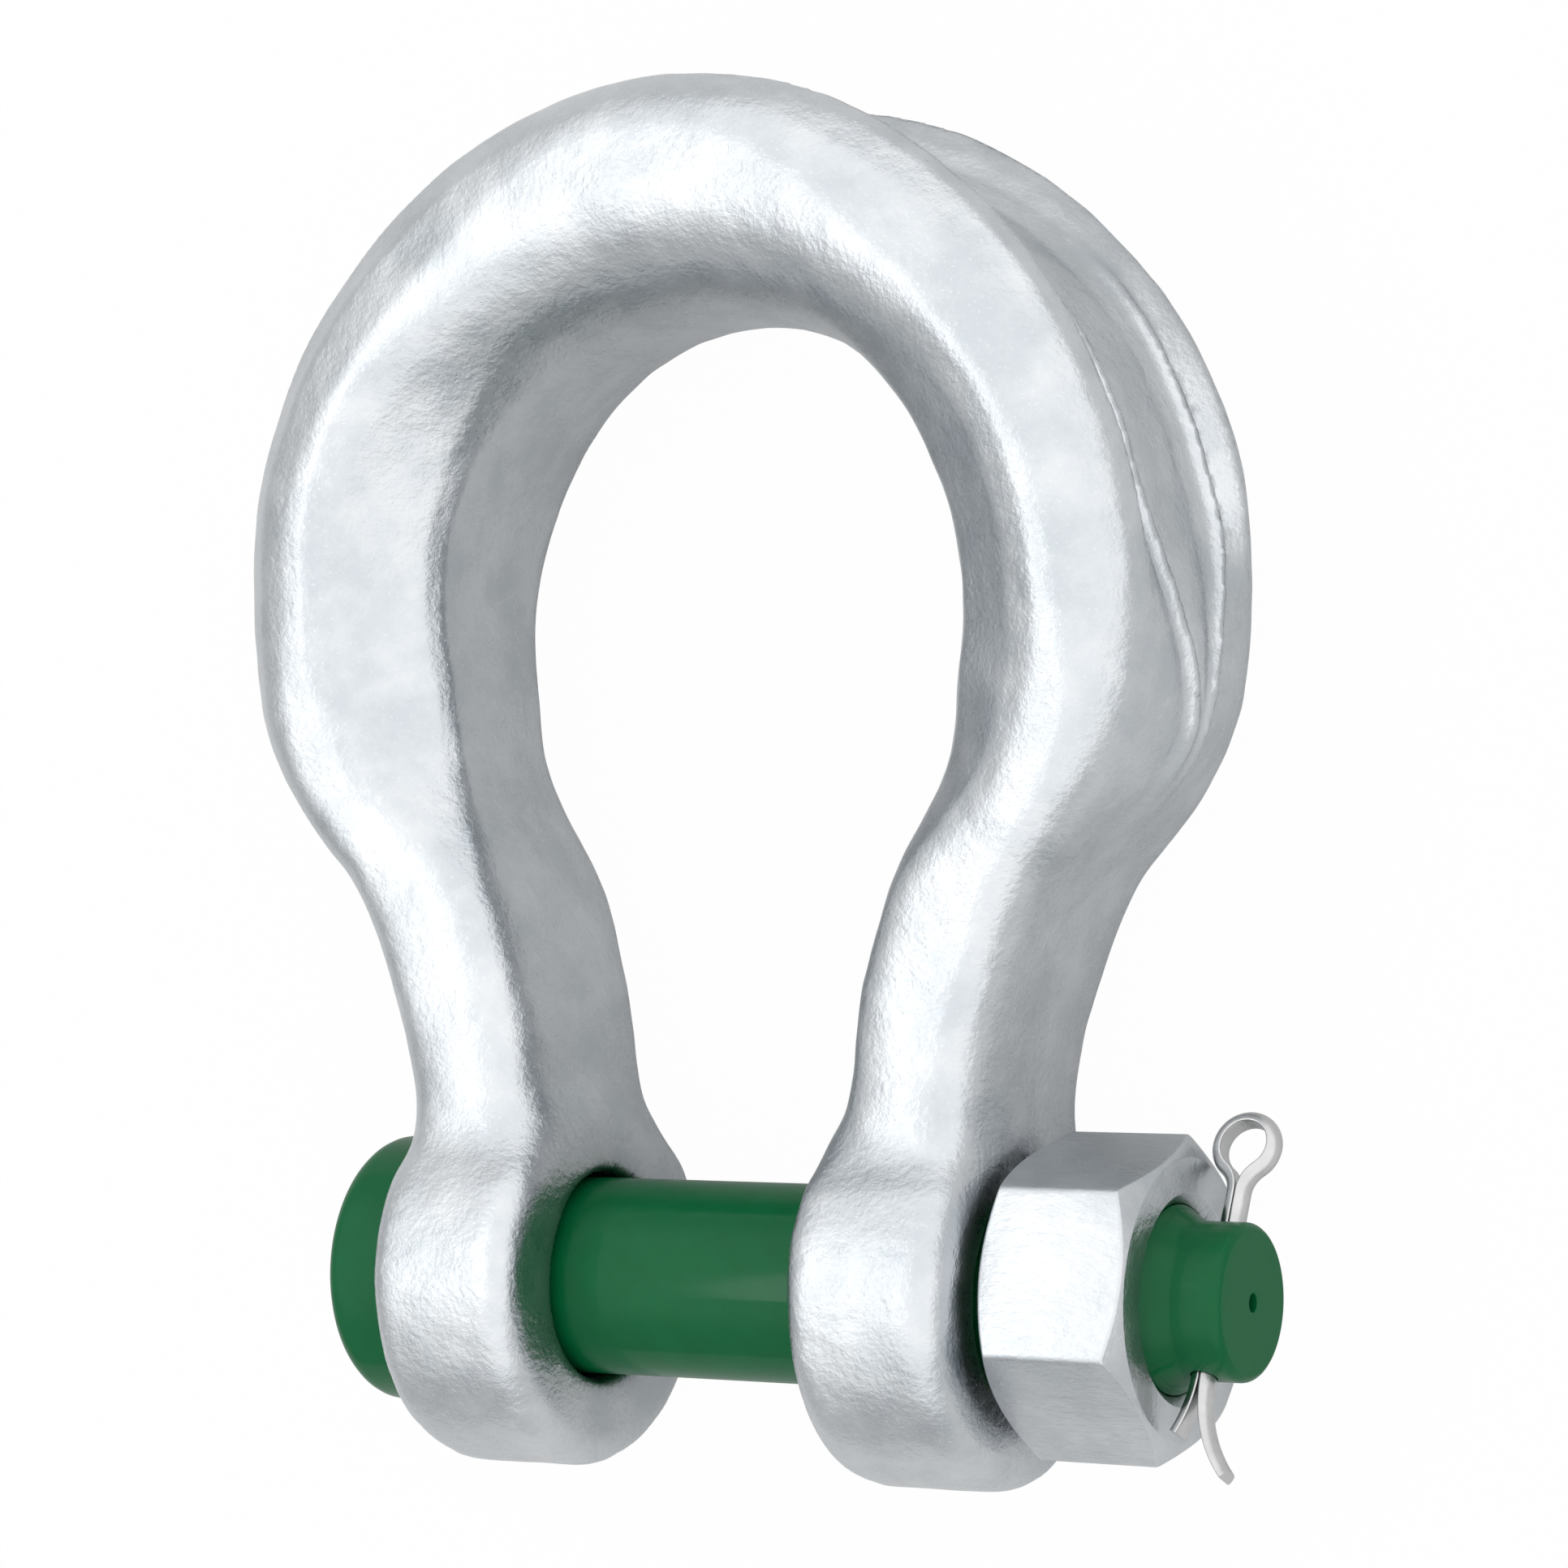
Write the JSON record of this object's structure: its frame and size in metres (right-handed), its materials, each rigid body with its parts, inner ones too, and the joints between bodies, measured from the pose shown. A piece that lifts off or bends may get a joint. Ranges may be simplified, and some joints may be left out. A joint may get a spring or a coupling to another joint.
{
  "type": "wide body shackle",
  "caption": "Bolt-type bow shackle with a wide, saddle-shaped forged bow, a headed load pin, a heavy hexagon nut and a split pin through the pin's end.",
  "frame": {"origin": "on the load pin's axis, midway between the two ears", "axes": "+X along the pin towards the nut, +Y from the pin towards the crown of the bow, +Z across the wide body. The shackle lies on its side on the ears' rims and the crown's lip."},
  "size_m": [0.3153, 0.3979, 0.1138],
  "materials": {
    "galvanised_bow": "hot-dip galvanised forging, satin with fine dimples",
    "green_paint": "glossy green paint, duller on the pin's end face",
    "galvanised_nut": "hot-dip galvanised, satin with a fine grain",
    "zinc_wire": "bright zinc-plated half-round wire"
  },
  "bodies": {
    "bow": {"bow": "galvanised_bow"},
    "pin": {"pin": "green_paint", "split_pin": "zinc_wire"},
    "nut": {"nut": "galvanised_nut"}
  },
  "joints": [
    {"name": "pin_turn", "type": "hinge", "parent": "bow", "child": "pin", "pos_m": [0, 0, 0], "axis": [1, 0, 0], "continuous": true},
    {"name": "nut_turn", "type": "hinge", "parent": "pin", "child": "nut", "pos_m": [0.12, 0, 0], "axis": [1, 0, 0], "range_deg": [-285, 190]}
  ]
}
